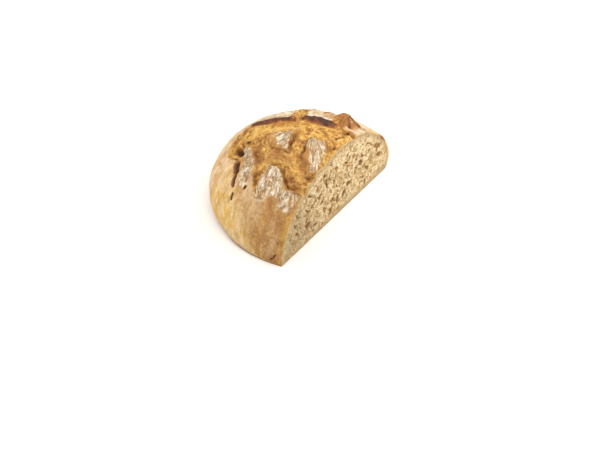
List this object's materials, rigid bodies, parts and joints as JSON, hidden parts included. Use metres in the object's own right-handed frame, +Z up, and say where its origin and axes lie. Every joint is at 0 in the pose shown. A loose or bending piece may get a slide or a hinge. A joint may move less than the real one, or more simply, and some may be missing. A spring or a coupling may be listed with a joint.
{
  "type": "walnut bread",
  "caption": "Round rustic bread, cut straight across, with a floured and slashed crust, torn open along the slashes, and an open, porous crumb on the cut face.",
  "frame": {"origin": "on the ground under the middle of the loaf's box", "axes": "+X is the outward normal of the cut face, +Y along the cut towards the far side, +Z up"},
  "size_m": [0.1531, 0.226, 0.0917],
  "materials": {
    "bread": "matt golden-brown crust with flour, pale beige crumb"
  },
  "bodies": {
    "root": {"loaf": "bread"}
  },
  "joints": []
}
